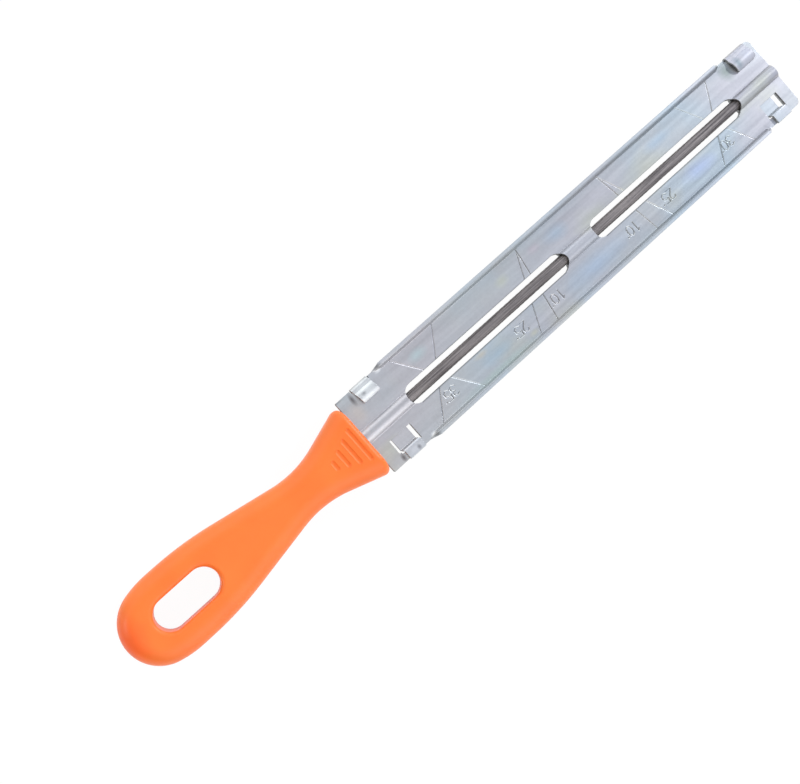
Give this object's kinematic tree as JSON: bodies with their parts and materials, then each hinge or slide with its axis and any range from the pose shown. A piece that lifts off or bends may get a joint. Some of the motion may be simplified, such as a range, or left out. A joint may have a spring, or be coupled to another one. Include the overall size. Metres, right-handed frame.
{
  "type": "chainsaw file guide",
  "caption": "Two stamped steel plates clipped round a round file in a central channel, with a waisted orange handle on the tang, for filing saw chain at a set angle and depth.",
  "frame": {"origin": "middle of the whole guide, on the axis of the file", "axes": "+X along the file to the tip, +Y to the side with the two hooks, +Z to the face with the angle marks"},
  "size_m": [0.243, 0.0256, 0.0126],
  "materials": {
    "plated_steel": "bright zinc plating, satin",
    "file_steel": "dark hardened steel with cut teeth",
    "orange_plastic": "moulded, satin"
  },
  "bodies": {
    "lower": {"bottom_plate": "plated_steel"},
    "upper": {"top_plate": "plated_steel"},
    "file": {"file": "file_steel"},
    "grip": {"handle": "orange_plastic"}
  },
  "joints": [
    {"name": "file_slide", "type": "slide", "parent": "lower", "child": "file", "axis": [-1, 0, 0], "range_m": [0, 0.15]},
    {"name": "handle_pull", "type": "slide", "parent": "file", "child": "grip", "axis": [-1, 0, 0], "range_m": [0, 0.035]},
    {"name": "plate_shift", "type": "slide", "parent": "lower", "child": "upper", "axis": [1, 0, 0], "range_m": [-0.0003, 0.0003]}
  ]
}
